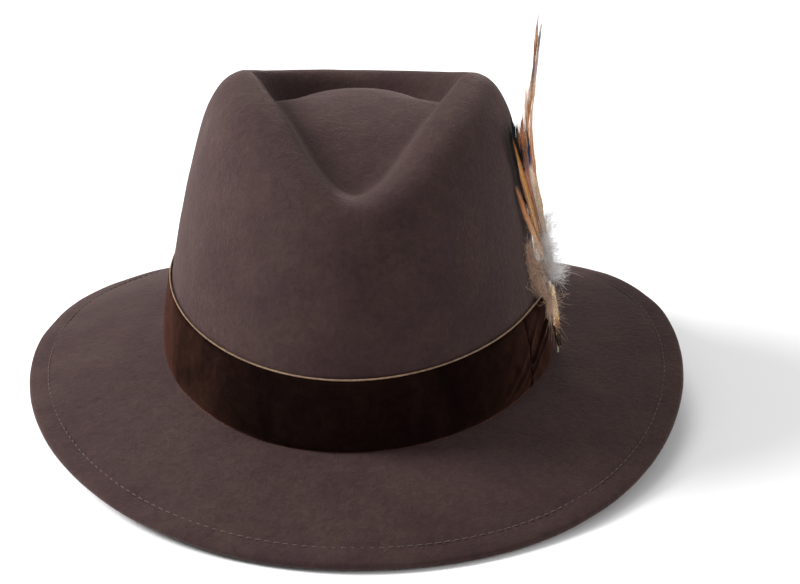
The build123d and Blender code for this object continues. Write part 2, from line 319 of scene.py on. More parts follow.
# ---- materials ---------------------------------------------------------------------
class Nodes:
    """A short way to write a node material."""

    def __init__(self, name):
        self.material = bpy.data.materials.new(name)
        self.material.use_nodes = True
        self.tree = self.material.node_tree
        self.shader = self.tree.nodes["Principled BSDF"]
        self.coords = self.tree.nodes.new("ShaderNodeTexCoord").outputs["Object"]

    def join(self, source, target):
        if hasattr(source, "is_linked"):
            self.tree.links.new(source, target)
        else:
            target.default_value = source

    def add(self, kind, output, inputs, **settings):
        """A new shader node, its settings and inputs filled in, as its output."""
        node = self.tree.nodes.new("ShaderNode" + kind)
        for key, value in settings.items():
            setattr(node, key, value)
        for key, value in inputs.items():
            self.join(value, node.inputs[key])
        return node.outputs[output]

    def set(self, **values):
        for key, value in values.items():
            self.join(value, self.shader.inputs[key.replace("_", " ")])

    def noise(self, scale, detail=2.0, roughness=0.5, distortion=0.0, kind="FBM", coords=None):
        inputs = {"Scale": scale, "Detail": detail, "Roughness": roughness, "Distortion": distortion,
                  "Vector": coords or self.coords}
        return self.add("TexNoise", "Fac", inputs, noise_type=kind)

    def ridges(self, scale, detail, roughness, distortion):
        return self.noise(scale, detail, roughness, distortion, "RIDGED_MULTIFRACTAL")

    def stretch(self, x, y, z):
        return self.add("Mapping", "Vector", {"Scale": (x, y, z), "Vector": self.coords})

    def wave(self, scale, distortion):
        inputs = {"Scale": scale, "Distortion": distortion, "Vector": self.coords}
        return self.add("TexWave", "Fac", inputs, bands_direction="Z")

    def cells(self, scale):
        """How far a place is from the edge of its cell."""
        inputs = {"Scale": scale, "Vector": self.coords}
        return self.add("TexVoronoi", "Distance", inputs, feature="DISTANCE_TO_EDGE")

    def ramp(self, value, low, high, start=0.3, end=0.7):
        inputs = {"Value": value, "From Min": start, "From Max": end, "To Min": low, "To Max": high}
        return self.add("MapRange", "Result", inputs)

    def times(self, one, two):
        return self.add("Math", "Value", {0: one, 1: two}, operation="MULTIPLY")

    def mix(self, share, one, two, kind="MIX"):
        inputs = {0: share, 6: one, 7: two}
        for key, value in inputs.items():
            if isinstance(value, tuple):
                inputs[key] = (*value[:3], 1.0)
        return self.add("Mix", 2, inputs, data_type="RGBA", blend_type=kind)

    def shade(self, colour, value):
        """The colour times a grey value."""
        grey = self.add("CombineColor", "Color", {0: value, 1: value, 2: value})
        return self.mix(1.0, colour, grey, "MULTIPLY")

    def edge_on(self):
        """1 where the surface turns away from the eye."""
        return self.add("LayerWeight", "Facing", {"Blend": 0.5})

    def tint(self):
        return self.add("VertexColor", "Color", {}, layer_name="Tint")

    def bump(self, height, distance, strength, under=None):
        inputs = {"Distance": distance, "Strength": strength, "Height": height}
        if under is not None:
            inputs["Normal"] = under
        normal = self.add("Bump", "Normal", inputs)
        self.join(normal, self.shader.inputs["Normal"])
        return normal


def felt_material():
    n = Nodes("felt")
    clouds = n.noise(22, 3, 0.55)
    mottle = n.noise(310, 4, 0.65, 0.8)
    fibres = n.ridges(560, 3, 0.6, 2.2)
    stray = n.ridges(230, 3, 0.6, 4.0)
    value = n.times(n.ramp(clouds, 0.92, 1.08), n.ramp(mottle, 0.72, 1.28, 0.25, 0.75))
    value = n.times(value, n.ramp(fibres, 0.84, 1.22, 0.2, 1.6))
    value = n.times(value, n.ramp(stray, 0.93, 1.30, 0.5, 1.7))
    cool, warm = (0.0440, 0.0225, 0.0235), (0.0490, 0.0280, 0.0255)
    hue = n.mix(n.ramp(n.noise(45, 2), 0, 1, 0.35, 0.65), cool, warm)
    n.set(Base_Color=n.shade(hue, value), Roughness=0.92, Specular_IOR_Level=0.14)
    n.set(Sheen_Weight=n.ramp(stray, 0.16, 0.34, 0.5, 1.6), Sheen_Roughness=0.40)
    n.set(Sheen_Tint=(1.0, 0.76, 0.70, 1))
    soft = n.bump(mottle, 0.0009, 0.5)
    n.bump(fibres, 0.0004, 0.6, soft)
    return n.material


def velvet_material():
    """Nearly black seen straight on, with a painted brown sheen where the pile is seen from the side."""
    n = Nodes("velvet")
    nap = n.noise(38, 3, 0.6, 0.8, coords=n.stretch(1, 1, 0.45))
    pile = n.noise(2400, 2, 0.7)
    crush = n.noise(170, 3, 0.6, 1.2)
    straight_on = n.mix(n.ramp(nap, 0, 1), (0.0030, 0.0012, 0.0010), (0.0084, 0.0035, 0.0028))
    value = n.times(n.ramp(pile, 0.6, 1.4), n.ramp(crush, 0.75, 1.3))
    painted_sheen_colour = n.mix(n.ramp(nap, 0, 1), (0.020, 0.0078, 0.0050), (0.048, 0.0200, 0.0135))
    # painted sheen: the base colour turns brown where the surface turns away from the eye
    colour = n.mix(n.ramp(n.edge_on(), 0, 1, 0.30, 0.95), straight_on, painted_sheen_colour)
    n.set(Base_Color=n.shade(colour, value), Roughness=1.0, Specular_IOR_Level=0.02)
    n.set(Sheen_Weight=n.ramp(nap, 0.06, 0.22), Sheen_Roughness=0.24)
    n.set(Sheen_Tint=(1.0, 0.42, 0.30, 1))
    soft = n.bump(crush, 0.0004, 0.5)
    n.bump(pile, 0.00012, 0.7, soft)
    return n.material


def thread_material(name, colour, roughness=0.7, gloss=0.3, twist=1500):
    n = Nodes(name)
    strands = n.noise(twist, 2, 0.6)
    n.set(Base_Color=n.shade(colour, n.ramp(strands, 0.7, 1.3)))
    n.set(Roughness=roughness, Specular_IOR_Level=gloss, Sheen_Weight=0.25, Sheen_Roughness=0.4)
    n.bump(strands, 0.00012, 0.5)
    return n.material


def satin_material(name, dark, light):
    n = Nodes(name)
    cloth = n.noise(60, 2, 0.5)
    weave = n.wave(1100, 0.6)
    cross = n.noise(1900, 1, 0.5, coords=n.stretch(1, 1, 0.2))
    colour = n.mix(n.ramp(cloth, 0, 1), dark, light)
    n.set(Base_Color=n.shade(colour, n.ramp(cross, 0.85, 1.15)))
    n.set(Roughness=n.ramp(cross, 0.26, 0.42), Specular_IOR_Level=0.55)
    n.set(Sheen_Weight=0.3, Sheen_Roughness=0.3, Anisotropic=0.6)
    n.bump(weave, 0.00004, 0.35)
    return n.material


def leather_material():
    n = Nodes("leather")
    patches = n.noise(30, 3, 0.6)
    grain = n.cells(1500)
    pores = n.noise(3000, 2, 0.6)
    creases = n.ridges(220, 4, 0.6, 1.5)
    colour = n.mix(n.ramp(patches, 0, 1), (0.085, 0.040, 0.022), (0.135, 0.068, 0.038))
    value = n.times(n.ramp(grain, 0.72, 1.08, 0.0, 0.3), n.ramp(creases, 0.94, 1.06, 0.3, 1.5))
    n.set(Base_Color=n.shade(colour, value), Roughness=n.ramp(pores, 0.34, 0.52))
    n.set(Specular_IOR_Level=0.45)
    soft = n.bump(n.ramp(grain, 0, 1, 0, 0.25), 0.00009, 0.6)
    n.bump(pores, 0.00004, 0.4, soft)
    return n.material


def metal_material(name, colour, worn, roughness, tinted=False):
    n = Nodes(name)
    tarnish = n.noise(420, 4, 0.65, 0.5)
    grit = n.noise(2600, 2, 0.6)
    metal = n.mix(n.ramp(tarnish, 0, 1, 0.42, 0.66), colour, worn)
    n.set(Base_Color=n.mix(1.0, metal, n.tint(), "MULTIPLY") if tinted else metal, Metallic=1.0)
    n.set(Roughness=n.ramp(tarnish, roughness, roughness + 0.22, 0.35, 0.7))
    n.bump(grit, 0.00006, 0.5)
    return n.material


def feather_material(name, gloss, softness=0.0):
    n = Nodes(name)
    streaks = n.noise(900, 3, 0.6)
    n.set(Base_Color=n.shade(n.tint(), n.ramp(streaks, 0.80, 1.25)))
    n.set(Roughness=0.75 - 0.1 * gloss, Specular_IOR_Level=0.02 + 0.06 * gloss)
    n.set(Sheen_Weight=0.7 * softness, Sheen_Roughness=0.5)
    n.set(Subsurface_Weight=softness, Subsurface_Radius=(1.0, 0.9, 0.8), Subsurface_Scale=0.012)
    n.bump(streaks, 0.00005, 0.4)
    return n.material


def quill_material():
    n = Nodes("quill")
    n.set(Base_Color=n.mix(n.ramp(n.noise(500, 2), 0, 1, 0.4, 0.6), (0.70, 0.62, 0.52), (0.82, 0.78, 0.72)))
    n.set(Roughness=0.35, Specular_IOR_Level=0.5, Subsurface_Weight=0.2, Subsurface_Scale=0.001)
    return n.material


def floor_material():
    n = Nodes("studio_floor")
    n.set(Base_Color=n.shade((0.955, 0.95, 0.96), n.ramp(n.noise(3, 2), 0.995, 1.005)))
    n.set(Roughness=0.9, Specular_IOR_Level=0.1)
    return n.material


FELT_LOOK = felt_material()
VELVET_LOOK = velvet_material()
BRIM_THREAD = thread_material("brim_thread", (0.085, 0.055, 0.050), 0.8, 0.2)
GOLD_CORD = thread_material("gold_cord", (0.26, 0.165, 0.100), 0.6, 0.2, 420)
DARK_THREAD = thread_material("binding_thread", (0.030, 0.020, 0.018))
LEATHER_LOOK = leather_material()
REED_LOOK = thread_material("reed_tape", (0.050, 0.032, 0.026), 0.6, 0.3)
LINING_LOOK = satin_material("lining_satin", (0.16, 0.095, 0.062), (0.23, 0.145, 0.095))
BOW_LOOK = satin_material("bow_satin", (0.030, 0.017, 0.013), (0.050, 0.030, 0.024))
LINING_CORD = satin_material("lining_cord", (0.30, 0.19, 0.12), (0.36, 0.24, 0.155))
CLIP_BRASS = metal_material("clip_brass", (0.16, 0.105, 0.055), (0.07, 0.045, 0.028), 0.38)
GILT = metal_material("gilt_metal", (1.0, 0.92, 0.80), (0.62, 0.45, 0.32), 0.14, True)


# ---- felt body ---------------------------------------------------------------------
def felt_body():
    t = turns(264)
    low, ridge, trough = base(t), crest(t), groove(t)
    middle = np.broadcast_to(DOME_TOP, low.shape)
    keys = [brim_point(t, share) for share in BRIM]
    keys += [base(t, out, up) for out, up in FOOT]
    keys += [wall(t, across, up) for across, up in WALL]
    keys += [between(ridge, trough, across, up) for across, up in DENT]
    keys += [between(trough, middle, across, up) for across, up in DOME]
    top = evenly(keys, 1.7)
    normal = grid_normals(top)
    # The seam draws the felt down along the stitches, and hands leave soft dents.
    share = np.hypot(top[..., 0] / BRIM_HALF_WIDTH, top[..., 1] / BRIM_HALF_LENGTH)
    seam = np.hypot(*(brim_point(t, STITCH_SHARE)[:, :2] / [BRIM_HALF_WIDTH, BRIM_HALF_LENGTH]).T)
    on_brim = share > 0.7
    dip = 0.32 * np.exp(-((share - seam) * BRIM_HALF_WIDTH / 1.3) ** 2) * on_brim
    swell = 0.22 * np.exp(-((share - seam - 0.035) * BRIM_HALF_WIDTH / 3.0) ** 2) * on_brim
    hand = 0.30 * waves(top, 46.0, 3) + 0.10 * waves(top, 17.0, 4)
    fade = np.clip(np.linalg.norm(top - DOME_TOP, axis=-1) / 12.0, 0, 1)
    top = top + normal * ((hand * fade - dip + swell)[..., None])
    normal = grid_normals(top)
    under = top - normal * FELT
    under[-1, :, 2] = top[-1, :, 2].mean() - FELT
    # The edge is folded under: a rounded lip and a second layer as far as the seam.
    thick = FELT + WELT
    out = unit(top[0] - top[1])
    centre = top[0] - normal[0] * thick / 2
    lip = [centre + thick / 2 * (out * math.sin(a) + normal[0] * math.cos(a))
           for a in np.linspace(0, math.pi, 11)[1:-1]]
    from_edge = np.linalg.norm(top[:, 0, :2] - top[0, 0, :2], axis=1)
    last = int(np.searchsorted(from_edge, WELT_WIDTH))
    welt = [top[k] - normal[k] * thick for k in range(last + 1)]
    step = [top[last] - normal[last] * (thick - 0.5) - out * 0.7,
            top[last] - normal[last] * (FELT + 0.25) - out * 0.8]
    loops = np.array([*top[::-1], *lip, *welt, *step, *under[last + 1:]])
    rows, columns = loops.shape[:2]
    faces = grid_faces(rows, columns).tolist()
    ends = np.array([loops[0].mean(0), loops[-1].mean(0)])
    count = rows * columns
    for k in range(columns):
        faces.append([count, (k + 1) % columns, k])
        faces.append([count + 1, count - columns + k, count - columns + (k + 1) % columns])
    place = np.concatenate([loops.reshape(-1, 3), ends])
    make_piece("felt_hat_body", "felt_body", place, faces, FELT_LOOK)


def stitches_along(line, normal, length, gap, radius, lift):
    """Rounded stitches laid end to end on a closed line; both ends dive into the cloth."""
    closed = closed_up(line)
    walk = lengths_along(closed)
    count = round(walk[-1] / (length + gap))
    step = walk[-1] / count
    rings = 7
    along = np.linspace(0, 1, rings)
    where = (np.arange(count)[:, None] + (along * length / (length + gap))[None]) * step
    place = looked_up(where, walk, closed)
    up = looked_up(where, walk, closed_up(normal))
    arch = np.sin(np.pi * along) ** 0.6
    place = place + up * (lift * arch - radius * (1 - arch))[None, :, None]
    radii = np.broadcast_to(radius * (0.55 + 0.45 * arch), (count, rings))
    return tubes(place, radii, 6)


def brim_stitching():
    t = turns(720)
    line = brim_point(t, STITCH_SHARE)
    ahead = brim_point(t, STITCH_SHARE + 0.01) - line
    around = np.roll(line, -1, axis=0) - np.roll(line, 1, axis=0)
    normal = unit(np.cross(ahead, around))
    normal *= np.sign(normal[:, 2:])
    top = stitches_along(line - normal * 0.22, normal, 3.1, 0.9, 0.24, 0.16)
    below = stitches_along(line - normal * (FELT + WELT + 0.05), -normal, 3.1, 0.9, 0.24, 0.12)
    place = np.concatenate([top[0], below[0]])
    faces = top[1] + shifted(below[1], len(top[0]))
    make_piece("brim_stitches", "brim_stitching", place, faces, BRIM_THREAD)


# ---- band --------------------------------------------------------------------------
KEEPER_FIRST, KEEPER_LAST = math.radians(62.0), math.radians(79.0)


# Where each fold crosses the band in degrees, its slope, half width and depth.
FOLDS = [(62.0, 1.15, 1.0, 0.9), (55.0, 0.9, 1.6, 0.45), (69.0, 1.3, 1.5, 0.5), (49.0, 0.5, 2.4, 0.3),
         (58.0, -0.5, 2.0, 0.25)]


def band_folds(t, height):
    """Soft folds where the velvet laps over itself: one long one runs down and forward."""
    degrees = np.degrees(t)
    before, past = np.clip(56.0 - degrees, 0, None), np.clip(degrees - 84.0, 0, None)
    near = np.exp(-before / 9.0) * np.exp(-past / 6.0)
    mid_height = np.exp(-((height - 15.0) / 13.0) ** 4)
    folds = 0.0
    for start, slope, half_width, depth in FOLDS:
        away = degrees - start - slope * (height - 12.0)
        folds = folds + depth * np.exp(-(away / half_width) ** 2) * mid_height
    return near * folds


def band_section(t):
    """Loops round the band's section: its outer face, top edge, inner face and foot."""
    loops = []
    tall = BAND_HEIGHT - BAND_FOOT
    for height in np.linspace(BAND_FOOT, BAND_HEIGHT, 30):
        edge = min(height - BAND_FOOT, BAND_HEIGHT - height)
        round_off = VELVET * 0.5 * math.exp(-edge / 0.5)
        out = pocket(t) + VELVET - round_off + band_folds(t, height)
        out = out + 0.12 * np.sin(math.pi * (height - BAND_FOOT) / tall)
        loops.append(wall_point(t, height, out))
    for height in np.linspace(BAND_HEIGHT, BAND_FOOT, 30):
        edge = min(height - BAND_FOOT, BAND_HEIGHT - height)
        loops.append(wall_point(t, height, pocket(t) - 0.15 + VELVET * 0.4 * math.exp(-edge / 0.4)))
    grid = np.array(loops)
    uneven = 0.14 * waves(grid, 24.0, 9) + 0.05 * waves(grid, 7.0, 10)
    return grid + outward_of(t)[None] * uneven[..., None]


def hatband():
    grid = band_section(turns(480))
    piece = loop_piece("velvet_hatband", "hatband", grid, VELVET_LOOK)
    length = np.linalg.norm(np.diff(wall_point(turns(361), 16.0, 1.2), axis=0), axis=1).sum() * MM


def cord_ring(name, node, line, frame_out, radius, pitch, material, strands=2, sides=7):
    """A twisted cord along a closed line: strands wind round it."""
    closed = closed_up(line)
    walk = lengths_along(closed)
    wraps = round(walk[-1] / pitch)
    where = np.linspace(0, walk[-1], wraps * 9, endpoint=False)
    place = looked_up(where, walk, closed)
    out = looked_up(where, walk, closed_up(frame_out))
    up = np.cross(unit(np.roll(place, -1, axis=0) - np.roll(place, 1, axis=0)), out)
    angle = turns(sides)
    ring = out[:, None] * np.cos(angle)[:, None] + up[:, None] * np.sin(angle)[:, None]
    verts, faces = [], []
    for k in range(strands):
        phase = where / walk[-1] * wraps * 2 * np.pi + k * 2 * np.pi / strands
        swing = out * np.cos(phase)[:, None] + up * np.sin(phase)[:, None]
        centre = place + swing * radius * 0.5
        grid = centre[:, None] + ring * radius * 0.56
        faces.append(grid_faces(len(centre), sides, close_rows=True, first=len(centre) * sides * k))
        verts.append(grid.reshape(-1, 3))
    make_piece(name, node, np.concatenate(verts), np.concatenate(faces), material)


def hatband_piping():
    t = turns(720)
    line = wall_point(t, BAND_HEIGHT + 0.25, pocket(t) + VELVET * 0.5)
    cord_ring("gold_band_cord", "hatband_piping", line, outward_of(t), 0.42, 1.8, GOLD_CORD)


def band_keeper():
    """The lapped end of the velvet: soft diagonal folds, its edges turned under."""
    across, tall = 110, 60
    u = np.linspace(0, 1, across)[None, :]
    v = np.linspace(0, 1, tall)[:, None]
    waist = 1 - 0.08 * np.sin(math.pi * v)
    t = (KEEPER_FIRST + KEEPER_LAST) / 2 + (KEEPER_LAST - KEEPER_FIRST) * (u - 0.5) * waist
    foot = BAND_FOOT - 0.1
    height = foot + (BAND_HEIGHT - foot) * v
    t, height = np.broadcast_arrays(t, height)
    edge = np.minimum(u, 1 - u) * 27.0
    lift = 1 - np.exp(-edge / 0.8)
    wrap = np.exp(-np.minimum(v, 1 - v) * BAND_HEIGHT / 0.8)
    out = VELVET * 0.9 + lift * (0.9 + band_folds(t, height) * 1.5)
    out = out * (1 - 0.7 * wrap)
    face = wall_point(t, height, pocket(t) + out)
    back = wall_point(t, height, pocket(t) + 0.35 + 0 * out)
    face = face + outward_of(t) * (0.12 * waves(face, 9.0, 21) * lift)[..., None]
    rim = np.concatenate([face, back[:, ::-1]], axis=1)
    piece = make_piece("velvet_keeper", "band_keeper", rim, keeper_faces(rim), VELVET_LOOK)


def keeper_faces(rim):
    """Quads round each level, and the top and foot closed by strips."""
    rows, columns = rim.shape[:2]
    faces = grid_faces(rows, columns).tolist()
    half = columns // 2
    for row in (0, rows - 1):
        first = row * columns
        for k in range(half - 1):
            quad = [first + k, first + k + 1, first + columns - 2 - k, first + columns - 1 - k]
            faces.append(quad if row else quad[::-1])
    return faces


# ---- inside the hat ----------------------------------------------------------------
def sweatband():
    t = turns(360)
    loops = []
    levels = np.linspace(1.0, SWEATBAND_HEIGHT, 30)
    inner = FELT + SKIN_GAP + LEATHER
    for height in levels:
        loosen = 0.5 * (height / SWEATBAND_HEIGHT) ** 4
        wave = 0.5 + 0.5 * np.sin(9 * t + 0.7) * np.sin(4 * t)
        loops.append(wall_point(t, height, -inner - loosen * wave))
    for height in levels[::-1]:
        loops.append(wall_point(t, height, -inner + LEATHER * 0.8))
    piece = loop_piece("leather_sweatband", "sweatband", np.array(loops), LEATHER_LOOK)
    seam = turns(720)
    line = wall_point(seam, 4.2, -inner - 0.02)
    place, faces = stitches_along(line, -outward_of(seam), 2.2, 0.8, 0.17, 0.12)
    make_piece("sweatband_stitches", None, place, faces, GOLD_CORD)
    join = wall_point(math.pi + 0.148, np.linspace(2.0, SWEATBAND_HEIGHT - 1, 20), -inner - 0.5)
    place, faces = tubes(join[None], np.full((1, len(join)), 0.25), 6)
    make_piece("sweatband_back_seam", None, place, faces, LEATHER_LOOK)


def sweatband_reed():
    t = turns(720)
    line = wall_point(t, 0.0, -(FELT + SKIN_GAP + LEATHER / 2))
    cord_ring("sweatband_reed_cord", "sweatband_reed", line, outward_of(t), 0.86, 3.4, REED_LOOK,
              3)


def lining():
    t = turns(720)
    loops = []
    gathers = 0.5 + 0.5 * np.sin(76 * t + 1.6 * np.sin(5 * t) + 0.9 * np.sin(13 * t))
    for height in np.linspace(SWEATBAND_HEIGHT - 4.0, LINING_TIP_HEIGHT, 34):
        open_up = np.clip((height - SWEATBAND_HEIGHT) / 6.0, 0, 1)
        sag = 1.3 * math.sin(math.pi * np.clip((height - SWEATBAND_HEIGHT) / 46.0, 0, 1))
        loops.append(wall_point(t, height, -(FELT + 0.12) - open_up * (0.8 + 0.95 * gathers + sag)))
    piece = loop_piece("lining_side_satin", "lining_side", np.array(loops), LINING_LOOK,
                       close=False)
    rim = wall_point(t, LINING_TIP_HEIGHT - 0.2, -(FELT + 2.4))
    centre = rim.mean(0)
    loops = []
    for share in np.linspace(1.0, 0.02, 46):
        loop = centre + (rim - centre) * share
        loop[:, 2] = centre[2] + (rim[:, 2] - centre[2]) * share + 3.4 * (1 - share ** 2)
        pucker = 0.30 * np.exp(-(1 - share) / 0.06) * np.sin(76 * t + 1.6 * np.sin(5 * t))
        loop[:, 2] += pucker + 0.5 * waves(loop, 60.0, 33) * (1 - share ** 4)
        loops.append(loop)
    grid = np.array(loops)
    rows, columns = grid.shape[:2]
    faces = grid_faces(rows, columns).tolist()
    hub = rows * columns
    faces += [[hub, hub - columns + k, hub - columns + (k + 1) % columns] for k in range(columns)]
    place = np.concatenate([grid.reshape(-1, 3), grid[-1].mean(0)[None]])
    piece = make_piece("lining_tip_satin", "lining_tip", place, faces, LINING_LOOK)
    cord = wall_point(t, LINING_TIP_HEIGHT - 0.4, -(FELT + 2.7))
    cord_ring("lining_tip_cord", "lining_piping", cord, outward_of(t), 0.8, 3.0, LINING_CORD)


def sweatband_bow():
    """Two loops, two tails and a knot of narrow satin ribbon."""
    middle = np.array([0.0, HEAD_HALF_LENGTH - 1.7, 12.0 + break_height(math.pi)])
    half_ribbon = 2.1
    loop = [(0.8, 0.0, 0.0), (4.5, -1.6, 0.9), (8.3, -1.3, 1.0), (9.4, 0.2, 0.3), (8.2, 0.5, -0.5),
            (4.5, 0.35, -0.4), (0.8, 0.3, -0.1)]
    tail = [(0.6, 0.1, -0.5), (2.4, -0.3, -3.0), (4.2, 0.1, -5.6), (6.4, -0.2, -8.0)]
    verts, faces, first = [], [], 0
    for side, route in ((-1, loop), (-1, tail), (1, loop), (1, tail)):
        line = evenly([(side * x, y, z) for x, y, z in route], 0.5)
        wide = unit(np.cross(np.gradient(line, axis=0), [0, 1, 0]))
        pinch = 0.45 + 0.55 * np.clip(np.abs(line[:, :1]) / 4.0, 0, 1)
        across = np.linspace(-1, 1, 7)[None, :, None] * half_ribbon * pinch[:, None]
        grid = line[:, None] + wide[:, None] * across + middle
        verts.append(grid.reshape(-1, 3))
        faces.append(grid_faces(*grid.shape[:2], close_columns=False, first=first))
        first += grid.shape[0] * grid.shape[1]
    rings, sides = 8, 14
    knot = [middle + [1.3 * math.cos(a), 0.85 * math.sin(a) - 0.5, z]
            for z in np.linspace(-1.7, 1.7, rings) for a in turns(sides)]
    verts.append(np.array(knot))
    faces.append(grid_faces(rings, sides, first=first))
    place, faces = np.concatenate(verts), np.concatenate(faces)
    piece = make_piece("sweatband_ribbon_bow", "sweatband_bow", place, faces, BOW_LOOK)
    piece.modifiers.new("cloth", "SOLIDIFY").thickness = 0.00025


# ---- feathers ----------------------------------------------------------------------
def mount_place(height, outward):
    """A place on the straight line that the mount slides along, by height up the band."""
    foot = wall_point(MOUNT_ANGLE, 2.0)[0]
    x = foot - MOUNT_LEAN * (height - 2.0) + outward
    return np.array([x, MOUNT_Y, height + break_height(MOUNT_ANGLE)])


def vane(node, slot, stations, shade, barbs, lean, split, seed, camber, turn, shaft, shaft_colour, bare,
         foot_across):
    """A feather: a tapered shaft with overlapping barbs down both sides.

    stations are (x, y, height above the break, half width) up the shaft, from the binding
    to the tip. shade(height, u, side) colours the barbs, from the shaft at u = 0 to the
    barbs' ends at u = 1. Below the height bare there are no barbs. lean and turn are in
    degrees: how far the barbs stand off the shaft, and how far the vane faces the front.
    """
    rng = np.random.default_rng(seed)
    quill = [mount_place(height, QUILL_OUT) + [0, foot_across * share, 0]
             for height, share in ((2.0, 0.6), (20.0, 1.0), (36.0, 1.0))]
    levels, half_widths = [row[2] for row in stations], [row[3] for row in stations]
    spine = evenly(quill + [station[:3] for station in stations], 1.0)
    walk = lengths_along(spine)
    length = walk[-1]
    tangent = unit(np.gradient(spine, axis=0))
    start = np.interp(bare, spine[:, 2], walk) / length
    spacing = length * (1 - start) / barbs
    facing = np.array([math.sin(math.radians(turn)), math.cos(math.radians(turn)), 0.0])
    u = np.linspace(0, 1, 9)
    verts, faces, colours, first = [], [], [], 0
    for side in (-1, 1):
        s = start + (1 - start) * (np.arange(barbs) + rng.uniform(-0.2, 0.2, barbs)) / barbs
        s = s + split * 0.010 * np.sin(s * 41 + rng.uniform(0, 6.3)) + split * 0.004 * np.sin(s * 97)
        s = np.clip(s, start, 0.998)
        root, ahead = looked_up(s * length, walk, spine), looked_up(s * length, walk, tangent)
        wide = facing * side
        wide = unit(wide - ahead * (ahead @ wide)[:, None])
        normal = np.cross(ahead, wide) * side
        angle = np.radians(lean * (1 - 0.45 * s ** 3) + split * 7 * np.sin(s * 29 + seed + side))
        half = np.interp(root[:, 2] + 1.5, levels, half_widths)
        reach = half * rng.uniform(0.9, 1.06, barbs) / np.sin(angle)
        reach *= 1 - split * 0.35 * rng.random(barbs) ** 3
        forward = (np.cos(angle) * reach)[:, None] * (u + 0.25 * u ** 2)[None]
        sideways = (np.sin(angle) * reach)[:, None] * (u - 0.12 * u ** 2)[None]
        sink = -(camber * half)[:, None] * (u ** 2)[None]
        sink = sink + rng.normal(0, 0.10, barbs)[:, None] * u[None]
        lines = root[:, None] + ahead[:, None] * forward[..., None] + wide[:, None] * sideways[..., None]
        lines = lines + normal[:, None] * sink[..., None]
        girth = spacing * 0.75 * np.sin(angle)[:, None] * (1 - 0.7 * u ** 3)[None] + 0.035
        across = ahead * np.sin(angle)[:, None] - wide * np.cos(angle)[:, None]
        place, quads = ribbons(lines, (across[:, None] + normal[:, None] * 0.25) * girth[..., None])
        verts.append(place)
        faces.append(quads + first)
        first += len(place)
        colour = shade(lines[..., 2], u[None] + 0 * lines[..., 2], side)
        colour = colour * rng.uniform(0.82, 1.15, (barbs, 1, 1))
        colours.append(np.repeat(colour, 2, axis=1).reshape(-1, 3))
    taper = shaft * (1 - 0.86 * walk / length) / 2
    place, quads = tubes(spine[None], taper[None], 7)
    verts.append(place)
    colours.append(np.broadcast_to(shaft_colour, place.shape))
    faces = np.concatenate(faces).tolist() + shifted(quads, first)
    make_piece(node + "_vane", node, np.concatenate(verts), faces, FEATHER_LOOKS[slot],
               "feather_mount", np.concatenate(colours))


def blend_colours(stops, s):
    """A colour that runs through (place, colour) stops."""
    places = [stop[0] for stop in stops]
    return np.stack([np.interp(s, places, [stop[1][k] for stop in stops]) for k in range(3)], -1)


def outside_wall(places):
    """Moves places out to the face of the felt and the band, on the wearer's left."""
    angles = np.radians(np.linspace(35, 130, 70))
    rows = np.stack([wall_point(angle, np.linspace(0, 108, 55), 0.5) for angle in angles])
    levels, ys = np.linspace(2, 100, 50), np.linspace(-50, 30, 41)
    xs, along = (np.stack([np.interp(levels, row[:, 2], row[:, k]) for row in rows]) for k in (0, 1))
    grid = np.stack([np.interp(ys, along[:, k], xs[:, k]) for k in range(len(levels))], axis=1)
    i = np.clip((places[..., 1] - ys[0]) / (ys[1] - ys[0]), 0, len(ys) - 1.001)
    j = np.clip((places[..., 2] - levels[0]) / (levels[1] - levels[0]), 0, len(levels) - 1.001)
    a, b = i.astype(int), j.astype(int)
    i, j = i - a, j - b
    face = (grid[a, b] * (1 - i) * (1 - j) + grid[a + 1, b] * i * (1 - j)
            + grid[a, b + 1] * (1 - i) * j + grid[a + 1, b + 1] * i * j)
    face = face + np.interp(places[..., 2], [33.6, 36.0], [4.4, 0.0])
    moved = places.copy()
    moved[..., 0] = np.maximum(places[..., 0], face)
    return moved


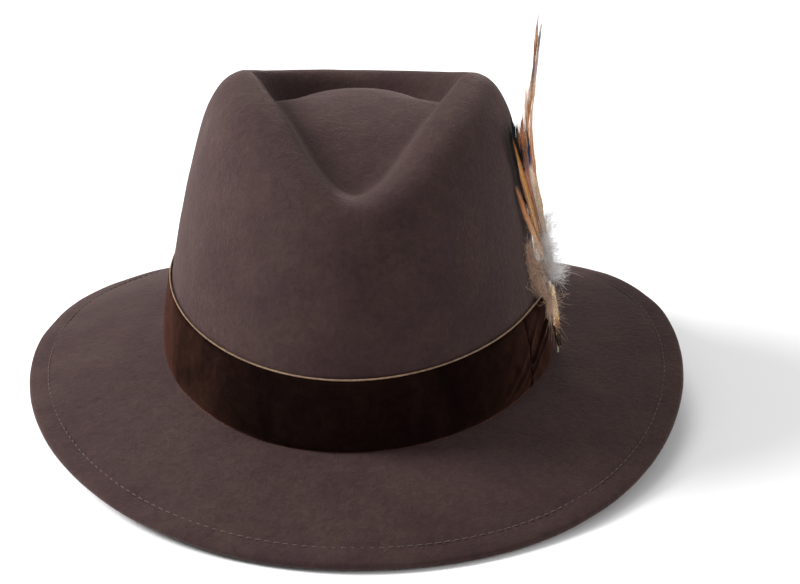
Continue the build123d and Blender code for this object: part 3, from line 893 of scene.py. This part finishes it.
def down(name, node, roots, aims, lengths, colours, seed):
    """Loose down: fine strands that wander, with short hairs along them."""
    rng = np.random.default_rng(seed)
    count, rings, hairs_each = len(roots), 13, 5
    radius, curl = 0.075, 0.9
    lines = np.zeros((count, rings, 3))
    lines[:, 0] = roots
    heading = unit(aims)
    step = (lengths / (rings - 1))[:, None]
    bias = rng.normal(0, 1, (count, 3)) * 0.10 * curl
    for k in range(1, rings):
        field = np.stack([waves(lines[:, k - 1], 14.0, seed + j) for j in (11, 12, 13)], -1)
        heading = unit(heading + bias + 0.22 * curl * field + rng.normal(0, 0.06, (count, 3)))
        lines[:, k] = lines[:, k - 1] + heading * step
    lines = outside_wall(lines)
    u = np.linspace(0, 1, rings)
    place, faces = tubes(lines, radius * (1 - 0.7 * u)[None] * np.ones((count, 1)), 3)
    root_colour, tip_colour = np.array(colours)
    shade = root_colour + (tip_colour - root_colour) * u[None, :, None]
    shade = shade * rng.uniform(0.8, 1.15, (count, 1, 1))
    pick = rng.integers(3, rings - 1, (count, hairs_each))
    start = np.take_along_axis(lines, pick[..., None], axis=1).reshape(-1, 3)
    ahead = unit(np.take_along_axis(np.gradient(lines, axis=1), pick[..., None], axis=1).reshape(-1, 3))
    aim = unit(ahead * 0.8 + rng.normal(0, 0.75, ahead.shape))
    reach = rng.uniform(1.2, 3.2, len(start))[:, None, None]
    along = np.linspace(0, 1, 4)[None, :, None]
    hairs = start[:, None] + aim[:, None] * along * reach
    hairs = outside_wall(hairs + rng.normal(0, 0.3, (len(start), 1, 3)) * along ** 2)
    more, quads = tubes(hairs, np.full(hairs.shape[:2], radius * 0.4) * (1 - 0.6 * along[..., 0]), 3)
    hair_shade = shade[np.arange(count)[:, None], pick].reshape(-1, 1, 3)
    tints = [np.repeat(shade, 3, axis=1).reshape(-1, 3), np.repeat(hair_shade, 12, 1).reshape(-1, 3) * 1.05]
    make_piece(name, node, np.concatenate([place, more]), faces + shifted(quads, len(place)),
               FEATHER_LOOKS[node], "feather_mount", np.concatenate(tints))


def halves(front, rear, edge=None, edge_from=0.6):
    """A vane's colours by height, one list of stops for its front half and one for its rear."""
    def shade(height, u, side):
        colour = blend_colours(front if side < 0 else rear, height)
        if edge is not None:
            share = np.clip((u - edge_from) / (1 - edge_from), 0, 1)[..., None]
            colour = colour * (1 - share) + np.array(edge) * share
        return colour * (0.82 + 0.18 * u)[..., None]
    return shade


FEATHER_LOOKS = {
    "feather_pheasant": feather_material("feather_pheasant", 0.6),
    "feather_lilac": feather_material("feather_lilac", 0.5),
    "feather_black": feather_material("feather_black", 0.0),
    "feather_amber": feather_material("feather_amber", 0.6),
    "feather_blue": feather_material("feather_blue", 0.3),
    "feather_cream": feather_material("feather_cream", 0.3, 0.3),
    "fluff_white": feather_material("white_down", 0.0, 0.9),
    "fluff_tan": feather_material("tan_down", 0.0, 0.25),
}
MAROON, DARK_MAROON, RUST = (0.20, 0.055, 0.030), (0.075, 0.024, 0.014), (0.46, 0.17, 0.060)
ORANGE, TAN, PALE_PINK = (0.62, 0.27, 0.10), (0.66, 0.40, 0.22), (0.78, 0.52, 0.38)
LILAC, CREAM, PINK = (0.55, 0.42, 0.42), (0.95, 0.74, 0.54), (0.66, 0.28, 0.18)
NAVY, INK = (0.035, 0.055, 0.19), (0.006, 0.006, 0.005)


def feathers():
    stations = [(87.1, -6.5, 43.0, 1.6), (84.4, -4.5, 56.0, 3.6), (82.8, -3.8, 62.0, 4.2),
                (79.3, -2.0, 76.0, 4.4), (75.9, 0.5, 94.0, 3.8), (75.3, 4.0, 111.0, 3.0),
                (76.8, 10.0, 121.0, 2.4), (77.8, 13.5, 130.0, 1.0), (78.3, 16.0, 137.0, 1.6),
                (79.1, 20.0, 145.0, 1.0), (79.5, 22.5, 148.5, 0.6), (79.8, 24.0, 151.5, 0.3)]
    front = [(60, TAN), (84, MAROON), (98, DARK_MAROON), (108, MAROON), (114, TAN), (124, PALE_PINK),
             (130, DARK_MAROON), (138, MAROON), (144, ORANGE), (149, LILAC)]
    rear = [(60, CREAM), (80, PINK), (96, RUST), (112, ORANGE), (118, TAN), (127, PALE_PINK), (131, MAROON),
            (140, RUST), (146, TAN), (150, LILAC)]
    vane("feather_tall", "feather_pheasant", stations, halves(front, rear), barbs=420, lean=20.0, split=0.8,
         seed=5, camber=0.12, turn=34, shaft=0.9, shaft_colour=TAN, bare=58.0, foot_across=0.2)

    stations = [(88.4, -5.5, 43.0, 1.0), (85.6, -2.0, 58.0, 1.6), (80.4, 2.0, 80.0, 2.0),
                (77.4, 6.0, 101.0, 2.0), (78.3, 12.0, 123.0, 1.2), (79.3, 16.0, 133.0, 1.3),
                (79.8, 19.0, 138.0, 0.7), (79.9, 22.0, 143.0, 0.2)]
    stops = [(60, TAN), (100, ORANGE), (112, PALE_PINK), (124, PALE_PINK), (130, LILAC),
             (142, (0.42, 0.40, 0.38))]
    vane("feather_tall_second", "feather_lilac", stations, halves(stops, stops), barbs=260, lean=16.0,
         split=1.0, seed=8, camber=0.1, turn=36, shaft=0.7, shaft_colour=PALE_PINK, bare=66.0,
         foot_across=0.9)

    stations = [(84.4, -9.0, 43.0, 2.0), (79.9, -10.0, 62.0, 6.0), (75.8, -10.5, 78.0, 9.0),
                (71.8, -10.5, 95.0, 9.0), (68.4, -10.0, 109.0, 3.5)]
    stops = [(50, (0.05, 0.034, 0.022)), (70, INK), (108, (0.008, 0.014, 0.013))]
    vane("feather_black", "feather_black", stations, halves(stops, stops), barbs=300, lean=50.0, split=0.4,
         seed=11, camber=0.05, turn=17, shaft=0.8, shaft_colour=(0.03, 0.02, 0.016), bare=52.0,
         foot_across=-0.4)

    stations = [(85.2, -9.5, 43.0, 1.2), (80.6, -11.5, 62.0, 2.6), (76.2, -12.0, 79.0, 2.6),
                (71.4, -12.0, 95.0, 2.2), (67.4, -12.0, 108.3, 0.4)]
    stops = [(45, TAN), (66, (0.52, 0.33, 0.16)), (80, (0.52, 0.26, 0.10)), (92, (0.60, 0.28, 0.095)),
             (102, (0.46, 0.22, 0.06)), (108, (0.26, 0.10, 0.05))]
    vane("feather_amber_long", "feather_amber", stations, halves(stops, stops, (0.26, 0.075, 0.03), 0.55),
         barbs=260, lean=20.0, split=0.4, seed=14, camber=0.1, turn=34, shaft=0.7,
         shaft_colour=(0.62, 0.40, 0.22), bare=50.0, foot_across=-1.0)

    stations = [(86.0, -11.0, 43.0, 1.2), (80.4, -16.0, 60.0, 2.6), (75.0, -18.5, 74.0, 2.2),
                (70.9, -19.0, 86.5, 0.4)]
    stops = [(45, CREAM), (62, TAN), (72, (0.52, 0.25, 0.12)), (80, RUST), (86, (0.40, 0.21, 0.14))]
    vane("feather_amber_short", "feather_amber", stations, halves(stops, stops, (0.30, 0.10, 0.05), 0.6),
         barbs=200, lean=22.0, split=0.8, seed=17, camber=0.1, turn=36, shaft=0.6,
         shaft_colour=(0.60, 0.42, 0.28), bare=50.0, foot_across=-1.6)

    stations = [(86.3, -6.5, 43.0, 1.2), (82.2, -5.5, 62.0, 2.6), (77.6, -4.0, 80.0, 4.0),
                (74.0, -3.0, 97.0, 5.0), (72.6, -3.0, 105.0, 4.6), (72.2, -3.0, 109.0, 1.6)]
    stops = [(60, MAROON), (92, (0.10, 0.04, 0.035)), (96, (0.10, 0.04, 0.03)), (99, (0.12, 0.05, 0.05)),
             (103, RUST), (110, (0.30, 0.13, 0.07))]
    vane("feather_blue", "feather_blue", stations, halves(stops, stops), barbs=240, lean=46.0, split=0.4,
         seed=20, camber=0.08, turn=24, shaft=0.6, shaft_colour=MAROON, bare=54.0, foot_across=-0.2)

    stations = [(88.8, -8.0, 43.0, 1.6), (85.4, -7.5, 54.0, 3.6), (81.0, -7.0, 70.0, 4.6),
                (77.2, -5.5, 86.0, 4.0), (75.6, -4.0, 98.0, 1.0)]
    front = [(48, TAN), (62, (0.46, 0.30, 0.22)), (76, (0.45, 0.21, 0.13)), (88, PINK),
             (93, (0.5, 0.2, 0.14)), (97, RUST)]
    rear = [(48, CREAM), (70, (0.62, 0.47, 0.33)), (90, CREAM), (93, NAVY), (99, (0.02, 0.03, 0.07))]
    vane("feather_cream", "feather_cream", stations, halves(front, rear), barbs=260, lean=24.0, split=0.8,
         seed=23, camber=0.12, turn=32, shaft=0.7, shaft_colour=(0.62, 0.45, 0.35), bare=46.0,
         foot_across=0.8)


def fluff():
    """White down high and to the left of the wearer, tan down low and in front."""
    rng = np.random.default_rng(41)

    def tuft(name, node, count, foot, climb, scatter, aim, spread, lengths, colours, seed):
        share = rng.random(count)
        root = np.array(foot) + share[:, None] * climb + rng.normal(size=(count, 3)) * scatter
        clear = np.interp(root[:, 2], [20, 36, 38, 48, 58, 66], [88.6, 87.2, 84.6, 82.4, 80.2, 78.6])
        clear = clear - np.interp(root[:, 1], [-18, -13], [3.0, 0.0])
        root[:, 0] = np.maximum(root[:, 0], clear)
        aims = np.array(aim) + rng.normal(size=(count, 3)) * spread
        aims[:, 0] = np.maximum(aims[:, 0], -0.34)
        reach = rng.uniform(*lengths, count) * (1 + 0.9 * (rng.random(count) > 0.92))
        down(name, node, root, aims, reach, colours, seed)

    white, warm = ((0.97, 0.90, 0.84), (1.0, 0.98, 0.97)), ((0.42, 0.22, 0.13), (0.95, 0.68, 0.48))
    tuft("down_white_tuft", "fluff_white", 520, (86.6, -11.0, 41.0), (-4.6, 1.0, 20.0), (1.0, 2.0, 1.0),
         (0.60, -0.45, 0.25), (0.55, 0.55, 0.55), (4.0, 10.0), white, 42)
    tuft("down_white_wisps", "fluff_white", 110, (84.0, -5.0, 54.0), (-2.0, 3.0, 11.0), (0.5, 1.5, 1.0),
         (0.85, -0.10, 0.60), (0.30, 0.40, 0.40), (8.0, 14.0), white, 43)
    tuft("down_tan_tuft", "fluff_tan", 640, (83.0, -16.0, 30.0), (-5.0, -3.0, 31.0), (1.4, 2.2, 1.0),
         (-0.28, -1.0, -0.10), (0.34, 0.55, 0.65), (3.5, 10.0), warm, 47)
    tuft("down_tan_wisps", "fluff_tan", 170, (85.5, -15.0, 36.0), (-0.3, -3.0, -2.0), (1.0, 2.4, 1.0),
         (-0.06, -0.40, -1.0), (0.20, 0.40, 0.30), (7.0, 13.0), warm, 48)
    tuft("down_low_curls", "fluff_tan", 60, (88.0, -8.0, 40.0), (0.5, 4.0, 2.0), (0.6, 1.5, 1.0),
         (0.75, -0.30, -0.15), (0.35, 0.40, 0.45), (5.0, 9.0), white, 49)


def quills():
    """Pale quill ends that show below the clasp, and their binding."""
    lines, radii = [], []
    heights = np.linspace(0.4, 41.0, 24)
    for k, across in enumerate((-1.5, -0.9, -0.3, 0.3, 0.9, 1.5)):
        foot = 0.4 * (k % 3)
        lines.append([mount_place(h + foot, 5.3 + 0.35 * (k % 2)) + [0, across * (0.35 + h / 60), 0]
                      for h in heights])
        radii.append(0.42 * np.clip(0.55 + heights / 12, 0.5, 1.0))
    place, faces = tubes(np.array(lines), np.array(radii), 8)
    make_piece("quill_ends", "quill_bundle", place, faces, quill_material(), "feather_mount")
    wraps, steps = 8, 22
    angles = np.arange(wraps * steps) * 2 * np.pi / steps
    line = np.array([mount_place(36.8 + 3.0 * k / len(angles), QUILL_OUT)
                     + [math.cos(a), 2.3 * math.sin(a), 0] for k, a in enumerate(angles)])
    place, faces = tubes(line[None], np.full((1, len(line)), 0.24), 6)
    make_piece("quill_thread_binding", "quill_binding", place, faces, DARK_THREAD,
               "feather_mount")


def clasp():
    """A gilt leaf: ribbed and granular face, curled sides, raised rim, its lower end dark."""
    rows, columns = 110, 51
    widest, rim_height = 5.4, 0.42
    v = np.linspace(0, 1, rows)[:, None]
    u = np.linspace(-1, 1, columns)[None, :]
    levels, shares = [0, 0.06, 0.2, 0.45, 0.7, 0.88, 1], [0.04, 0.26, 0.62, 1.0, 0.86, 0.5, 0.24]
    half = widest * np.interp(v, levels, shares)
    half = half * (1 + 0.06 * np.sin(v * 2 * math.pi * 5.0 + 0.6))
    front_curl = 2.1 * np.clip(-u, 0, 1) ** 1.4 * half / widest
    rear_curl = 0.5 * np.clip(u, 0, 1) ** 2 * half / widest
    vein = 0.55 * np.exp(-(u * half / 0.45) ** 2)
    ribs = 0.30 * np.abs(np.sin((v * 14 + np.abs(u) * 1.6) * math.pi)) * (1 - np.abs(u) ** 6)
    rim = rim_height * np.exp(-((1 - np.abs(u)) * half / 0.42) ** 2)
    face = np.array([mount_place(2.4 + 31.5 * share, 0.0) for share in v[:, 0]])
    face = np.repeat(face[:, None], columns, axis=1)
    face[..., 0] += 6.35 + 0.8 * np.sin(math.pi * v) ** 0.8 - front_curl - rear_curl + vein + ribs + rim
    face[..., 1] += u * half
    rng = np.random.default_rng(51)
    grains = rng.normal(size=face.shape[:2]) * (1 - np.abs(u) ** 8) * np.interp(v, [0.25, 0.4], [0.2, 1.0])
    face[..., 0] += 0.10 * grains
    back = face - [0.7, 0, 0]
    rings = np.concatenate([face, back[:, ::-1]], axis=1)
    stops = [(0.0, (0.05, 0.03, 0.025)), (0.28, (0.10, 0.055, 0.035)), (0.36, (0.38, 0.17, 0.08)),
             (0.48, (0.80, 0.58, 0.32)), (1.0, (0.92, 0.78, 0.52))]
    bright = np.clip(rim / rim_height * 0.9, 0, 1)[..., None]
    tint = blend_colours(stops, v + 0.05 * np.sin(u * 3)) * (1 - bright)
    tint = tint + np.array([0.85, 0.76, 0.60]) * bright
    tint = np.concatenate([tint, tint[:, ::-1] * 0.6], axis=1)
    make_piece("gilt_leaf", "gilt_leaf_clasp", rings, keeper_faces(rings), GILT,
               "feather_mount", tint)


def mount_clip():
    """The clip's CAD solid is shown as it is, in dark brass."""
    materials = frame["nodes"]["mount_clip"].data.materials
    materials.clear()
    materials.append(CLIP_BRASS)


# ---- the hat -----------------------------------------------------------------------
for build in (felt_body, brim_stitching, hatband, hatband_piping, band_keeper, sweatband, sweatband_reed,
              lining, sweatband_bow, feathers, fluff, quills, clasp, mount_clip):
    build()


# ---- studio ------------------------------------------------------------------------
def studio():
    scene = bpy.context.scene
    side = 6.0
    mesh = bpy.data.meshes.new("floor")
    corners = [(-side, -side, 0), (side, -side, 0), (side, side, 0), (-side, side, 0)]
    mesh.from_pydata(corners, [], [(0, 1, 2, 3)])
    mesh.materials.append(floor_material())
    floor = bpy.data.objects.new("floor", mesh)
    scene.collection.objects.link(floor)

    world = bpy.data.worlds.new("studio")
    scene.world = world
    world.use_nodes = True
    background = world.node_tree.nodes["Background"]
    background.inputs["Color"].default_value = (1.0, 1.0, 1.0, 1.0)
    background.inputs["Strength"].default_value = 0.46

    hat_middle = Vector((0, 0, 0.06))
    for name, place, size, power in (("key", (-1.6, 0.0, 1.15), 0.9, 58), ("top", (-0.2, 1.0, 1.8), 1.2, 14),
                                     ("fill", (1.4, -0.9, 0.9), 0.8, 7)):
        data = bpy.data.lights.new(name, "AREA")
        data.shape = "DISK"
        data.size = size
        data.energy = power
        light = bpy.data.objects.new(name, data)
        light.location = place
        light.rotation_euler = (hat_middle - Vector(place)).to_track_quat("-Z", "Y").to_euler()
        scene.collection.objects.link(light)


def camera():
    elevation, yaw, roll = math.radians(25.07), math.radians(1.1), math.radians(0.5)
    distance, long_side, focal_pixels = 1400.0, 800.0, 3056.6
    level, rise = distance * math.cos(elevation), distance * math.sin(elevation)
    eye = Vector((level * math.sin(yaw), -level * math.cos(yaw), rise + BREAK)) * MM
    target = Vector((19.55, 0.0, 27.92 + BREAK)) * MM
    forward = (target - eye).normalized()
    right = forward.cross(Vector((0, 0, 1))).normalized()
    up = right.cross(forward)
    tilted = right * math.cos(roll) + up * math.sin(roll)
    up = up * math.cos(roll) - right * math.sin(roll)
    data = bpy.data.cameras.new("camera")
    data.sensor_width = 36.0
    data.lens = focal_pixels / long_side * data.sensor_width
    data.clip_start, data.clip_end = 0.05, 50.0
    eye_piece = bpy.data.objects.new("camera", data)
    turn = Matrix((tilted, up, -forward)).transposed().to_4x4()
    eye_piece.matrix_world = Matrix.Translation(eye) @ turn
    bpy.context.scene.collection.objects.link(eye_piece)
    bpy.context.scene.camera = eye_piece


studio()
camera()
bpy.context.scene.view_settings.view_transform = "Standard"
